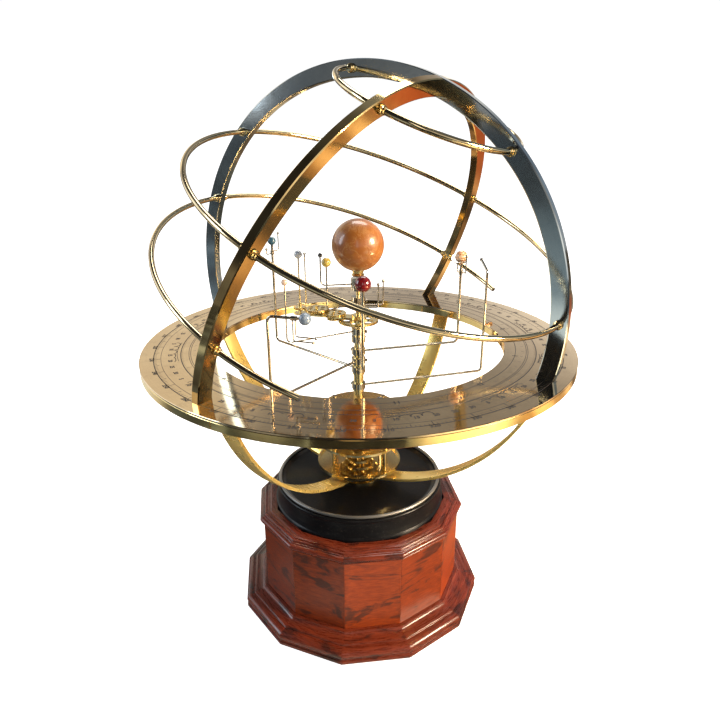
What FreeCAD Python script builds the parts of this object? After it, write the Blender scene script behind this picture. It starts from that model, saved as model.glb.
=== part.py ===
import FreeCAD, Part
import math
import os

# Grand orrery in an armillary sphere, on a twelve-sided wooden base.
# Millimetres, +Z up, origin at the centre of the base's underside.
# +X points to the foot of the solstitial ring that stands beside the pole.

V = FreeCAD.Vector
UP = V(0, 0, 1)
os.makedirs("parts", exist_ok=True)

# ---------------------------------------------------------------- driving sizes
# Wooden base: circumscribed radii of the twelve-sided mouldings
sides = 12
base_turn = 25.9
drum_r = 108.2
stave_thick = 18.0
plinth_proud = 24.5
plinth_height = 25.0
drum_height = 80.0
cornice_height = 11.9
cornice_proud = 4.0
board_thick = 6.0
pad_height = 2.0
pad_r = 9.0

# Black turned stand with its bead rim
stand_inset = 17.2
stand_height = 23.0
stand_sink = 6.0
bead_r = 1.7
hub_r = 14.0
hub_flange_r = 22.0
hub_gap = 6.0

# Armillary sphere
tilt = 23.5
ring_width = 15.0
ring_thick = 8.0
rod_r = 2.5
foot_margin = 11.5
plate_drop = 50.5
polar_latitude = 65.6
tropic_latitude = 23.5
equator_shrink = 3.5
equator_open = 135.0
strap_width = 18.0
strap_thick = 3.0

# Horizontal ecliptic plate with its two edge bands
plate_width = 67.0
plate_thick = 2.0
band_thick = 1.8
band_height = 7.0

# Movement between three round plates
movement_thick = 2.5
floor_lift = 9.0
middle_lift = 28.0
upper_lift = 34.0
pillar_r = 2.2
pillar_room = 13.0
floor_plate_edge = 7.3
middle_plate_edge = 6.0
upper_plate_edge = 4.0
layer_low = 6.0
layer_high = 4.6
wheel_thick = 2.4
centre_distance = 24.0
drive_inset = 2.0
pin_r = 1.5

# Concentric tubes round the steel centre post
post_r = 1.5
tube_wall = 0.41
run_gap = 0.05

# Collars, bent wire arms and stones
collar_r = 7.0
collar_height = 6.0
wire_r = 1.3
fine_wire_r = 0.75
hair_wire_r = 0.6
bend_r = 5.0
sun_r = 25.0
sun_seat_lift = 69.9

# Gear teeth: every pair is (driving teeth, driven teeth)
mercury_pair = (50, 12)
venus_pair = (39, 24)
earth_pair = (31, 31)
mars_pair = (25, 47)
jupiter_first = (20, 45)
jupiter_second = (16, 45)
saturn_first = (24, 36)
saturn_second = (23, 38)
drive_teeth = 26
moon_fixed_teeth = 65
moon_first_pinion = 21
moon_wheel_teeth = 40
moon_pinion_teeth = 20
arbor_angle = -56.0
drive_angle = 34.0
jupiter_angle = 124.0
saturn_angle = -146.0

# Planets at rest: azimuth of each arm and height of its stone above the plate
azimuth = {
    "mercury": -136.7,
    "venus": -95.5,
    "earth": -163.0,
    "mars": -118.0,
    "jupiter": -53.6,
    "saturn": 48.0,
    "uranus": -93.9,
    "neptune": 170.0,
    "pluto": 49.5,
}
stone_lift = {
    "mercury": 86.5,
    "venus": 86.0,
    "earth": 82.5,
    "mars": 68.0,
    "jupiter": 79.0,
    "saturn": 77.0,
    "uranus": 55.0,
    "neptune": 82.5,
    "pluto": 69.0,
}
moon_azimuth = 64.0

# Stones: radius of each ball, and how far its wire enters it
wire_seat = 1.2
mercury_ball = 2.2
venus_ball = 4.3
earth_ball = 4.0
moon_ball = 1.5
moon_orbit = 7.0
mars_ball = 3.0
jupiter_ball = 7.0
saturn_ball = 6.7
saturn_ring_r = 10.0
uranus_ball = 5.2
neptune_ball = 4.5
pluto_ball = 1.8
moonlet_ball = 1.4

# ---------------------------------------------------------------- worked-out places
base_top = plinth_height + drum_height + cornice_height
stand_r = drum_r - stand_inset
stand_top = base_top + stand_height

# radii of the orbits, from the Sun outwards, each clear of the one inside it
mercury_orbit = sun_r + 9.3 + mercury_ball
venus_orbit = mercury_orbit + mercury_ball + 2.5 + venus_ball
earth_room = moon_orbit + moon_ball + 0.3
earth_orbit = venus_orbit + venus_ball + 3.2 + earth_room
moon_pair_1 = moon_fixed_teeth + moon_first_pinion
moon_pair_2 = moon_wheel_teeth + moon_pinion_teeth
moon_module = 2 * earth_orbit / (moon_pair_1 + 2 * moon_pair_2)
moon_c1 = moon_pair_1 * moon_module / 2
moon_c2 = moon_pair_2 * moon_module / 2
mars_orbit = earth_orbit + earth_room + 3.0 + mars_ball
jupiter_orbit = mars_orbit + mars_ball + 1.2 + jupiter_ball
saturn_orbit = jupiter_orbit + jupiter_ball + 2.2 + saturn_ring_r
uranus_ball_orbit = saturn_orbit + wire_r + 2.6 + uranus_ball
uranus_orbit = uranus_ball_orbit + uranus_ball + 3.0
neptune_orbit = uranus_orbit + wire_r * 2 + 3.8
pluto_orbit = neptune_orbit + wire_r * 2 + 4.8
plate_inner_r = pluto_orbit + wire_r + band_thick + 2.4
plate_outer_r = plate_inner_r + plate_width

# the sphere stands on the plate at foot_r and its straps hang below it
foot_r = plate_outer_r - foot_margin
ring_outer_r = math.hypot(foot_r, plate_drop)
ring_r = ring_outer_r - ring_width / 2
ring_inner_r = ring_outer_r - ring_width
strap_r = ring_r + 1.5
sphere_z = stand_top + hub_gap + strap_r
plate_top = sphere_z - plate_drop
plate_under = plate_top - plate_thick
pole = V(math.sin(math.radians(tilt)), 0, math.cos(math.radians(tilt)))
centre = V(0, 0, sphere_z)

# the movement's plates and pillars stand clear of its wheels
pillar_circle = centre_distance + pillar_room
floor_plate_r = pillar_circle + floor_plate_edge
middle_plate_r = pillar_circle + middle_plate_edge
upper_plate_r = pillar_circle + upper_plate_edge
drive_distance = centre_distance - drive_inset

# heights of the movement
floor_z = sphere_z - strap_r + floor_lift
floor_top = floor_z + movement_thick
middle_z = floor_top + middle_lift - movement_thick
middle_top = middle_z + movement_thick
upper_z = middle_top + upper_lift - movement_thick
upper_top = upper_z + movement_thick
low_layers = [floor_top + 2.5 + layer_low * i for i in range(3)]
high_layers = [middle_top + 2.0 + layer_high * i for i in range(5)]

# heights of the collars, measured down from the plate's top face
sun_z = plate_top + sun_seat_lift + sun_r
post_top = sun_z - sun_r + 10.0
mercury_z = plate_top + 57.0
venus_z = plate_top + 40.0
earth_z = plate_top + 22.5
fixed_wheel_z = earth_z - 4.0
mars_z = plate_top + 9.0
jupiter_z = plate_top + 0.6
saturn_z = plate_top - 12.5
uranus_z = plate_top - 22.5
neptune_z = plate_top - 32.0
pluto_z = plate_top - 50.0


# ---------------------------------------------------------------- helpers
def tube_in(k):
    """Inner radius of the k-th tube counted from the centre post."""
    return post_r + run_gap + k * (tube_wall + run_gap)


def tube_out(k):
    return tube_in(k) + tube_wall


def polar(radius, angle, z=0.0):
    a = math.radians(angle)
    return V(radius * math.cos(a), radius * math.sin(a), z)


def disc(radius, z, height, at=V(0, 0, 0)):
    return Part.makeCylinder(radius, height, V(at.x, at.y, z))


def washer(outer, inner, z, height, at=V(0, 0, 0)):
    return disc(outer, z, height, at).cut(disc(inner, z - 1, height + 2, at))


def turned(profile):
    """Solid of revolution about Z from (radius, height) points."""
    points = [V(r, 0, z) for r, z in profile]
    face = Part.Face(Part.makePolygon(points + points[:1]))
    return face.revolve(V(0, 0, 0), UP, 360)


def polygon_wire(radius, z):
    step = 360.0 / sides
    points = [polar(radius, base_turn + step * i, z) for i in range(sides)]
    return Part.makePolygon(points + points[:1])


def moulding(profile):
    """Twelve-sided solid through (circumscribed radius, height) sections."""
    return Part.makeLoft([polygon_wire(r, z) for r, z in profile], True, True)


def toothed(teeth, module, z, height, at, tooth_at, bore):
    """Spur wheel with one tooth centred on the direction tooth_at (degrees)."""
    pitch = 360.0 / teeth
    pitch_r = teeth * module / 2
    tip_r = pitch_r + 0.75 * module
    root_r = pitch_r - 0.95 * module
    points = []
    for i in range(teeth):
        mid = tooth_at + pitch * i
        points.append(at + polar(root_r, mid - 0.25 * pitch))
        points.append(at + polar(tip_r, mid - 0.10 * pitch))
        points.append(at + polar(tip_r, mid + 0.10 * pitch))
        points.append(at + polar(root_r, mid + 0.25 * pitch))
    for p in points:
        p.z = z
    face = Part.Face(Part.makePolygon(points + points[:1]))
    wheel = face.extrude(V(0, 0, height))
    hub = bore + 3.2
    web = root_r - 2.2
    if web - hub > 4.0:
        hole_r = (web - hub) / 2
        circle = (web + hub) / 2
        count = max(4, min(6, int(math.pi / math.asin(min(1.0, (hole_r + 1.0) / circle)))))
        for i in range(count):
            wheel = wheel.cut(disc(hole_r, z - 1, height + 2, at + polar(circle, 360.0 / count * i)))
    return wheel.cut(disc(bore, z - 1, height + 2, at))


def mesh_angle(teeth_a, tooth_a, direction, teeth_b):
    """Tooth direction of wheel B so that it meshes with A, direction running from A to B."""
    phase = teeth_a * (direction - tooth_a) / 360.0
    return direction + 180.0 - 360.0 / teeth_b * (0.5 - phase)


def bent_wire(points, radius, bend):
    """Round wire along straight runs joined by tangent arcs."""
    edges = []
    start = points[0]
    for i in range(1, len(points) - 1):
        into = (points[i] - points[i - 1]).normalize()
        out = (points[i + 1] - points[i]).normalize()
        turn = into.getAngle(out)
        reach = bend * math.tan(turn / 2)
        first = points[i] - into * reach
        last = points[i] + out * reach
        inward = (out - into).normalize()
        middle = points[i] + inward * (bend / math.cos(turn / 2) - bend)
        edges.append(Part.LineSegment(start, first).toShape())
        edges.append(Part.Arc(first, middle, last).toShape())
        start = last
    edges.append(Part.LineSegment(start, points[-1]).toShape())
    path = Part.Wire(edges)
    profile = Part.Wire(Part.makeCircle(radius, points[0], points[1] - points[0]))
    return path.makePipeShell([profile], True, False)


def save(name, *solids):
    shape = solids[0] if len(solids) == 1 else Part.makeCompound(list(solids))
    shape.exportStep("parts/" + name + ".step")
    loose = [s for s in shape.Solids if not s.isValid()]
    print(name, len(shape.Solids), "solids", round(shape.Volume), "mm3", "BAD" if loose else "")
    return shape


# ---------------------------------------------------------------- wooden base
def make_base():
    plinth_r = drum_r + plinth_proud
    board_r = drum_r - stave_thick
    # sections as (distance in from the foot's edge, share of the height) and (out from the drum, share)
    low = ((1.2, 0.0), (0.0, 0.07), (0.0, 0.45), (1.0, 0.54), (4.5, 0.62), (11.9, 0.71), (13.0, 0.81))
    high = ((4.5, 0.9), (1.0, 1.0))
    rise = plinth_height - pad_height
    sections = [(plinth_r - r, pad_height + rise * share) for r, share in low]
    sections += [(drum_r + r, pad_height + rise * share) for r, share in high]
    plinth = moulding(sections)
    plinth = plinth.cut(moulding([(board_r, pad_height - 1), (board_r, pad_height + board_thick)]))
    save("base_plinth", plinth)
    bottom = moulding([(board_r, pad_height), (board_r, pad_height + board_thick)])
    pads = [disc(pad_r, 0, pad_height, polar(drum_r - stave_thick / 2 + 8, 45 + 90 * i)) for i in range(4)]
    save("felt_pads", *pads)

    step = 360.0 / sides
    inner_r = drum_r - stave_thick
    staves = []
    for i in range(sides):
        a = base_turn + step * i
        corners = [polar(drum_r, a), polar(drum_r, a + step), polar(inner_r, a + step), polar(inner_r, a)]
        outline = Part.makePolygon([c + V(0, 0, plinth_height) for c in corners + corners[:1]])
        staves.append(Part.Face(outline).extrude(V(0, 0, drum_height)))
    save("base_staves", *staves)

    z = plinth_height + drum_height
    r = drum_r + cornice_proud
    shape = ((3.2, 0.0), (0.8, 0.08), (0.0, 0.24), (0.0, 0.39), (1.0, 0.55), (3.2, 0.67), (5.6, 0.7))
    shape += ((6.4, 0.79), (9.0, 0.86), (12.0, 0.92), (12.9, 1.0))
    profile = [(r - inset, z + cornice_height * share) for inset, share in shape]
    cornice = moulding(profile)
    cornice = cornice.cut(disc(stand_r + 0.2, z - 1, cornice_height + 2))
    save("base_cornice", cornice)
    top = moulding([(board_r, z - board_thick), (board_r, z)])
    save("base_boards", bottom, top)


# ---------------------------------------------------------------- black stand, hub and straps
def make_stand():
    z = plinth_height + drum_height
    r = stand_r
    dish = 2.0
    profile = [(0, z), (r, z), (r, base_top + 2.0), (r - 1.0, base_top + 3.5), (r - 4.0, base_top + 5.0)]
    profile += [(r - 5.2, base_top + 8.0), (r - 4.6, base_top + 14.0), (r - 3.0, stand_top - 5.0)]
    profile += [(r - 2.0, stand_top - 3.4), (r - 2.0, stand_top - 2.0), (r - 3.2, stand_top)]
    profile += [(r - 8.0, stand_top), (r - 12.0, stand_top - dish), (0, stand_top - dish)]
    stand = turned(profile)
    bead = Part.makeTorus(r - 5.6, bead_r, V(0, 0, stand_top + bead_r))
    save("bead_rim", bead)

    # flanged boss that carries the movement, held down by three screws
    foot = stand_top - dish
    profile = [(0, foot), (hub_flange_r, foot), (hub_flange_r, foot + 1.6), (hub_flange_r - 3, foot + 3.0)]
    profile += [(hub_r, foot + 4.2), (hub_r, floor_z), (0, floor_z)]
    hub = turned(profile).cut(disc(post_r, foot + 4, floor_z - foot))
    screws = []
    for i in range(3):
        at = polar(hub_flange_r - 3.4, 40 + 120 * i)
        screws.append(disc(1.2, foot - 6, 8.0, at).fuse(disc(2.2, foot + 1.6, 1.4, at)))
        hub = hub.cut(screws[-1])
        stand = stand.cut(screws[-1])
    save("hub_boss", hub)
    save("turned_stand", stand)
    return screws


def strap_ring():
    outer = Part.makeCylinder(strap_r + strap_thick / 2, strap_width, V(0, 0, 0), V(0, 1, 0))
    inner = Part.makeCylinder(strap_r - strap_thick / 2, strap_width + 2, V(0, -1, 0), V(0, 1, 0))
    ring = outer.cut(inner)
    ring.translate(V(0, -strap_width / 2, sphere_z))
    side = 3 * strap_r
    depth = 2 * strap_r
    below = Part.makeBox(side, side, depth, V(-side / 2, -side / 2, plate_under - depth))
    return ring.common(below)


def make_straps(tools):
    hub_hole = disc(hub_r, stand_top, 3 * hub_gap)
    ring = strap_ring().cut(hub_hole)
    for tool in tools:
        ring = ring.cut(tool)
    turned_ring = ring.copy()
    turned_ring.rotate(V(0, 0, 0), UP, 90)
    save("lower_straps", ring, turned_ring)


# ---------------------------------------------------------------- armillary rings
def ring_bar():
    """Upright ring in the plane y = 0, standing on the plate."""
    outer = Part.makeCylinder(ring_outer_r, ring_thick, V(0, -ring_thick / 2, sphere_z), V(0, 1, 0))
    inner = Part.makeCylinder(ring_inner_r, ring_thick + 2, V(0, -ring_thick / 2 - 1, sphere_z), V(0, 1, 0))
    return outer.cut(inner)


def above_plate(shape):
    size = 3 * ring_outer_r
    return shape.common(Part.makeBox(size, size, size, V(-size / 2, -size / 2, plate_top)))


def circle_rod(latitude, radius):
    lat = math.radians(latitude)
    at = centre + pole * (radius * math.sin(lat))
    return Part.makeTorus(radius * math.cos(lat), rod_r, at, pole)


def equator_rod(radius):
    """Part circle that stops short of the plate at both ends."""
    arc = Part.makeTorus(radius, rod_r, V(0, 0, 0), UP, -180, 180, 2 * (180 - equator_open / 2))
    arc.rotate(V(0, 0, 0), UP, equator_open / 2)
    arc.rotate(V(0, 0, 0), V(0, 1, 0), tilt)
    arc.translate(centre)
    return arc


def make_sphere():
    polar_rod = circle_rod(polar_latitude, ring_r)
    tropic_rod = circle_rod(tropic_latitude, ring_r)
    equator = equator_rod(ring_r - equator_shrink)
    rods = [polar_rod, tropic_rod, equator]
    solstice = above_plate(ring_bar())
    equinox = ring_bar()
    equinox.rotate(V(0, 0, sphere_z), UP, 90)
    equinox.rotate(V(0, 0, sphere_z), V(0, 1, 0), tilt)
    gap = Part.makeBox(3 * ring_r, ring_thick, 3 * ring_r, V(-1.5 * ring_r, -ring_thick / 2, plate_top))
    equinox = above_plate(equinox).cut(gap)
    for rod in rods:
        solstice = solstice.cut(rod)
        equinox = equinox.cut(rod)
    save("polar_circle", polar_rod)
    save("tropic_circle", tropic_rod)
    save("equator_arc", equator)
    return solstice, equinox


def make_plate(solstice, equinox):
    plate = washer(plate_outer_r, plate_inner_r, plate_under, plate_thick)
    outer_band = washer(plate_outer_r, plate_outer_r - band_thick, plate_under - band_height, band_height)
    inner_band = washer(plate_inner_r + band_thick, plate_inner_r, plate_under - band_height, band_height)
    # two screws from below hold each foot of the rings and pinch a strap end to the plate
    screws = []
    mid_r = (foot_r + math.sqrt(ring_inner_r ** 2 - plate_drop ** 2)) / 2
    lean = plate_drop * math.tan(math.radians(tilt))
    for i in range(4):
        if i % 2 == 0:
            at = polar(mid_r, 90 * i)
        else:
            at = V(-lean, 0, 0) + polar(mid_r - 1.5, 90 * i)
        shank = disc(1.4, plate_under - 0.01, plate_thick + 6.0, at)
        head = disc(2.6, plate_under - 1.8, 1.8, at)
        screws.append(shank.fuse(head))
    for screw in screws:
        plate = plate.cut(screw)
        solstice = solstice.cut(screw)
        equinox = equinox.cut(screw)
    save("ecliptic_plate", plate)
    save("plate_bands", outer_band, inner_band)
    save("solstitial_ring", solstice)
    save("equinoctial_ring", equinox)
    return screws


# ---------------------------------------------------------------- movement
def make_movement(screws):
    arbor = polar(centre_distance, arbor_angle)
    drive = polar(drive_distance, drive_angle)
    jupiter_at = polar(centre_distance, jupiter_angle)
    saturn_at = polar(centre_distance, saturn_angle)

    lip = 2.2
    rim = [(0, floor_z), (floor_plate_r - 2, floor_z), (floor_plate_r, floor_z + 1.5)]
    rim += [(floor_plate_r, floor_top + lip), (floor_plate_r - 1.6, floor_top + lip)]
    rim += [(floor_plate_r - 1.6, floor_top), (0, floor_top)]
    floor_plate = turned(rim).cut(disc(post_r, floor_z - 1, 9))
    middle = disc(middle_plate_r, middle_z, movement_thick)
    upper = disc(upper_plate_r, upper_z, movement_thick)
    middle = middle.cut(disc(tube_out(3), middle_z - 1, 9))
    upper = upper.cut(disc(tube_out(7), upper_z - 1, 9))
    pivot = pin_r + run_gap
    floor_plate = floor_plate.cut(disc(pivot, floor_z - 1, 9, arbor))
    middle = middle.cut(disc(pivot, middle_z - 1, 9, arbor))
    floor_plate = floor_plate.cut(disc(pivot, floor_z - 1, 9, drive))
    middle = middle.cut(disc(pivot, middle_z - 1, 9, drive))
    upper = upper.cut(disc(pivot, upper_z - 1, 9, drive))

    # pillars between the plates, and fixed pins that carry the two compound wheels
    pillars = []
    for i in range(4):
        at = polar(pillar_circle, drive_angle + 45 + 90 * i)
        for low, high in ((floor_top, middle_z), (middle_top, upper_z)):
            waist = disc(pillar_r, low, high - low, at)
            foot = disc(pillar_r + 1.1, low, 2.5, at)
            head = disc(pillar_r + 1.1, high - 2.5, 2.5, at)
            pillars.append(waist.fuse(foot).fuse(head).removeSplitter())
    pins = []
    nuts = []
    for at in (jupiter_at, saturn_at):
        pins.append(disc(pin_r, middle_z, upper_top - middle_z, at))
        middle = middle.cut(disc(pin_r, middle_z - 1, 9, at))
        upper = upper.cut(disc(pin_r, upper_z - 1, 9, at))
    for i in range(4):
        at = polar(pillar_circle, drive_angle + 45 + 90 * i)
        nuts.append(disc(2.6, upper_top, 1.6, at))
    save("floor_plate", floor_plate)
    save("middle_plate", middle)
    save("upper_plate", upper)
    save("movement_pillars", *(pillars + pins))
    save("screws_and_nuts", *(nuts + screws))

    # the year arbor drives Mercury, Venus, Earth and Mars; teeth are set in mesh at rest
    stack = [(mercury_pair, low_layers[0]), (venus_pair, low_layers[1])]
    stack += [(earth_pair, low_layers[2]), (mars_pair, high_layers[0])]
    tube_of = [0, 1, 2, 4]
    wheels = {}
    arbor_body = disc(pin_r, floor_z + 0.5, high_layers[0] + wheel_thick + 1.0 - floor_z, arbor)
    for (driver, driven), z in stack:
        k = tube_of[len(wheels)]
        module = 2 * centre_distance / (driver + driven)
        arbor_body = arbor_body.fuse(toothed(driver, module, z, wheel_thick, arbor, 0.0, pin_r))
        tooth = mesh_angle(driver, 0.0, arbor_angle + 180.0, driven)
        bore = tube_out(k)
        wheels[k] = toothed(driven, module, z, wheel_thick, V(0, 0, 0), tooth, bore)
    save("year_arbor", arbor_body)

    # hand drive: knob spindle that meshes with the Earth wheel
    earth_module = 2 * drive_distance / (earth_pair[1] + drive_teeth)
    drive_tooth = mesh_angle(earth_pair[1], 0.0, drive_angle, drive_teeth)
    drive_z = low_layers[2] + wheel_thick + 1.0
    earth_drive = toothed(earth_pair[1], earth_module, drive_z, wheel_thick, V(0, 0, 0), 0.0, tube_out(2))
    pinion = toothed(drive_teeth, earth_module, drive_z, wheel_thick, drive, drive_tooth, pin_r)
    spindle = disc(pin_r, floor_z + 0.5, upper_top + 6.0 - floor_z, drive)
    save("drive_spindle", spindle.fuse(pinion))
    collar = disc(2.6, upper_top + 0.6, 3.0, drive).cut(spindle)
    knob = Part.makeSphere(4.4, V(drive.x, drive.y, upper_top + 7.0)).cut(spindle)
    save("drive_knob", collar.fuse(knob).cut(spindle))

    # compound wheels that slow Mars's tube down for Jupiter, and Jupiter's for Saturn
    def compound(name, at, angle, first, second, z):
        m1 = 2 * centre_distance / sum(first)
        m2 = 2 * centre_distance / sum(second)
        source = toothed(first[0], m1, z, wheel_thick, V(0, 0, 0), 0.0, 0.5)
        enter = mesh_angle(first[0], 0.0, angle, first[1])
        big = toothed(first[1], m1, z, wheel_thick, at, enter, pin_r + run_gap)
        small = toothed(second[0], m2, z + layer_high, wheel_thick, at, 0.0, pin_r + run_gap)
        sleeve = washer(3.2, pin_r + run_gap, z, layer_high + wheel_thick, at)
        save(name, big.fuse(small).fuse(sleeve))
        leave = mesh_angle(second[0], 0.0, angle + 180.0, second[1])
        target = toothed(second[1], m2, z + layer_high, wheel_thick, V(0, 0, 0), leave, 0.5)
        return source, target

    mars_out, jupiter_in = compound("jupiter_reducer", jupiter_at, jupiter_angle,
                                    jupiter_first, jupiter_second, high_layers[1])
    jupiter_out, saturn_in = compound("saturn_reducer", saturn_at, saturn_angle,
                                      saturn_first, saturn_second, high_layers[3])

    def tube(k, low, high):
        return washer(tube_out(k), tube_in(k), low, high - low)

    half = collar_height / 2
    tubes = {
        "mercury": (0, low_layers[0], mercury_z + half, [wheels[0]]),
        "venus": (1, low_layers[1], venus_z + half, [wheels[1]]),
        "earth": (2, low_layers[2], earth_z + 3.2, [wheels[2], earth_drive]),
        "mars": (4, high_layers[0], mars_z + half, [wheels[4], mars_out]),
        "jupiter": (5, high_layers[2], jupiter_z + half, [jupiter_in, jupiter_out]),
        "saturn": (6, high_layers[4], saturn_z + half, [saturn_in]),
    }
    for name, (k, low, high, gears) in tubes.items():
        body = tube(k, low, high)
        for gear in gears:
            body = body.fuse(gear.cut(disc(tube_out(k) - 0.1, low - 5, high - low + 10)))
        save(name + "_tube", body.removeSplitter())

    # fixed parts on the axis
    post = disc(post_r, floor_z - 4.0, post_top - floor_z + 4.0)
    save("centre_post", post)
    fixed = tube(3, middle_z - 1.5, fixed_wheel_z + 2.4)
    flange = washer(8.0, tube_out(3), middle_z - 1.5, 1.5)
    crown = toothed(moon_fixed_teeth, moon_module, fixed_wheel_z, 2.4, V(0, 0, 0), 0.0, tube_out(3))
    save("fixed_wheel", fixed.fuse(flange).fuse(crown))
    column = tube(7, upper_z, saturn_z - half - 0.4)
    foot = washer(12.0, tube_out(7), upper_top, 2.5)
    stops = [column.fuse(foot)]
    for z in (uranus_z, neptune_z, pluto_z):
        stops.append(washer(collar_r - 0.8, tube_out(7), z - half - 2.3, 2.0))
    save("column_tube", *stops)


# ---------------------------------------------------------------- arms and stones
def collar_with_arm(angle, z, inner_r, points, radius, bend, collar=collar_r, height=collar_height):
    """Collar, bent wire and clamp screw: three solids that belong to one arm."""
    wire = bent_wire(points, radius, bend)
    screw_axis = polar(1.0, angle + 130.0)
    root = screw_axis * (inner_r + 0.4) + V(0, 0, z)
    screw = Part.makeCylinder(0.9, collar - inner_r + 0.4, root, screw_axis)
    head = Part.makeCylinder(1.6, 1.8, screw_axis * (collar + 0.2) + V(0, 0, z), screw_axis)
    screw = screw.fuse(head)
    ring = washer(collar, inner_r, z - height / 2, height).cut(wire).cut(screw)
    return [ring, wire, screw]


def upright_arm(angle, z, inner_r, orbit, top):
    """Points of an arm that runs out level and then rises to a stone."""
    start = polar(inner_r + 1.6, angle, z)
    return [start, polar(orbit, angle, z), polar(orbit, angle, top)]


def moonlets(at, low, reaches, rises, angle):
    """L-shaped wires on a small ferrule, each with a steel bead at its tip."""
    solids = [disc(2.0, low - 1.2 * len(reaches), 2.4 * len(reaches), at)]
    for i in range(len(reaches)):
        z = low - 1.2 * len(reaches) + 1.2 + 2.4 * i
        out = polar(reaches[i], angle[i])
        foot = V(at.x, at.y, z)
        wire = bent_wire([foot, foot + out, foot + out + V(0, 0, rises[i])], hair_wire_r, 1.4)
        bead = Part.makeSphere(moonlet_ball, foot + out + V(0, 0, rises[i] + 0.6))
        solids[0] = solids[0].fuse(wire).fuse(bead)
    return solids[0]


def make_planets():
    sun = Part.makeSphere(sun_r, V(0, 0, sun_z)).cut(disc(post_r, floor_z, post_top - floor_z))
    save("sun_ball", sun)
    seat = sun_z - sun_r
    profile = [(0, seat - 5), (5.5, seat - 5), (6.5, seat - 3.6)]
    profile += [(5.0, seat - 2), (6.0, seat + 0.8), (0, seat + 0.8)]
    cap = turned(profile).cut(sun)
    save("sun_finial", cap.cut(disc(post_r, floor_z, post_top - floor_z)))

    # name, tube it is fixed to, collar height, orbit, stone, wire, collar radius and length
    plain = (
        ("mercury", 0, mercury_z, mercury_orbit, mercury_ball, fine_wire_r, collar_r, 2 * collar_height),
        ("venus", 1, venus_z, venus_orbit, venus_ball, fine_wire_r, collar_r, 1.5 * collar_height),
        ("mars", 4, mars_z, mars_orbit, mars_ball, fine_wire_r, collar_r, collar_height),
        ("jupiter", 5, jupiter_z, jupiter_orbit, jupiter_ball, wire_r, collar_r, collar_height),
        ("saturn", 6, saturn_z, saturn_orbit, saturn_ball, wire_r, collar_r, collar_height),
        ("neptune", 7, neptune_z, neptune_orbit, neptune_ball, wire_r, collar_r, collar_height),
    )
    for name, k, z, orbit, ball_r, radius, collar, height in plain:
        angle = azimuth[name]
        ball_z = plate_top + stone_lift[name]
        slack = run_gap if name == "neptune" else 0.0
        inner = tube_out(k) + slack
        points = upright_arm(angle, z, inner, orbit, ball_z - ball_r + wire_seat)
        solids = collar_with_arm(angle, z, inner, points, radius, bend_r, collar, height)
        at = polar(orbit, angle)
        rod = solids[1]
        if name == "jupiter":
            low = ball_z - 19.0
            moons = moonlets(at, low, (13.0, 17.0), (19.0, 20.0), (angle + 90, angle + 87))
            solids.append(moons.cut(rod))
        if name == "saturn":
            low = ball_z - 15.0
            moons = moonlets(at, low, (9.0, 12.0), (9.0, 17.0), (angle + 90, angle - 90))
            solids.append(moons.cut(rod))
        if name == "neptune":
            low = ball_z - 12.5
            moons = moonlets(at, low, (8.0, 9.0), (5.0, 18.0), (angle + 90, angle - 90))
            solids.append(moons.cut(rod))
        save(name + "_arm", *solids)
        ball = Part.makeSphere(ball_r, V(at.x, at.y, ball_z)).cut(rod)
        if name == "saturn":
            halo = washer(saturn_ring_r, saturn_ball - 0.3, -0.4, 0.8)
            halo.rotate(V(0, 0, 0), V(1, 0, 0), 24)
            halo.translate(V(at.x, at.y, ball_z))
            save("saturn_ring", halo.cut(ball))
        save(name + "_ball", ball)

    # Uranus lies on its side: the rod bends over and carries the stone on a level axle
    inner = tube_out(7) + run_gap
    angle = azimuth["uranus"]
    ball_z = plate_top + stone_lift["uranus"]
    spread = math.degrees(34.0 / uranus_orbit)
    rod_top = polar(uranus_orbit, angle, ball_z)
    ball_at = polar(uranus_ball_orbit, angle + spread, ball_z)
    axle = (ball_at - rod_top).normalize()
    start = polar(inner + 1.6, angle, uranus_z)
    points = [start, polar(uranus_orbit, angle, uranus_z), rod_top, ball_at - axle * (uranus_ball - wire_seat)]
    solids = collar_with_arm(angle, uranus_z, inner, points, wire_r, bend_r)
    ferrule_at = rod_top + axle * 24.0
    hoop = Part.makeCylinder(2.0, 4.8, ferrule_at - axle * 2.4, axle)
    for shift, drop, run in ((-1.2, 20.0, 17.0), (1.2, 16.0, 17.0)):
        top = ferrule_at + axle * shift
        low = top - V(0, 0, drop)
        wire = bent_wire([top, low, low + axle * run], hair_wire_r, 2.0)
        bead = Part.makeSphere(moonlet_ball, low + axle * (run + 0.6))
        hoop = hoop.fuse(wire).fuse(bead)
    solids.append(hoop.cut(solids[1]))
    save("uranus_arm", *solids)
    save("uranus_ball", Part.makeSphere(uranus_ball, ball_at, axle).cut(solids[1]))

    # Pluto: the outermost rod leans over at its top, as its orbit does
    angle = azimuth["pluto"]
    tip_rise = 9.0
    tip_reach = 15.0
    rod_top = polar(pluto_orbit, angle, plate_top + stone_lift["pluto"] - tip_rise)
    tip = rod_top + polar(tip_reach, angle + 90.0, tip_rise)
    start = polar(inner + 1.6, angle, pluto_z)
    points = [start, polar(pluto_orbit, angle, pluto_z), rod_top, tip]
    solids = collar_with_arm(angle, pluto_z, inner, points, wire_r, 4.0)
    save("pluto_arm", *solids)
    stone = Part.makeSphere(pluto_ball, tip, tip - rod_top)
    save("pluto_ball", stone.cut(solids[1]))


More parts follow.
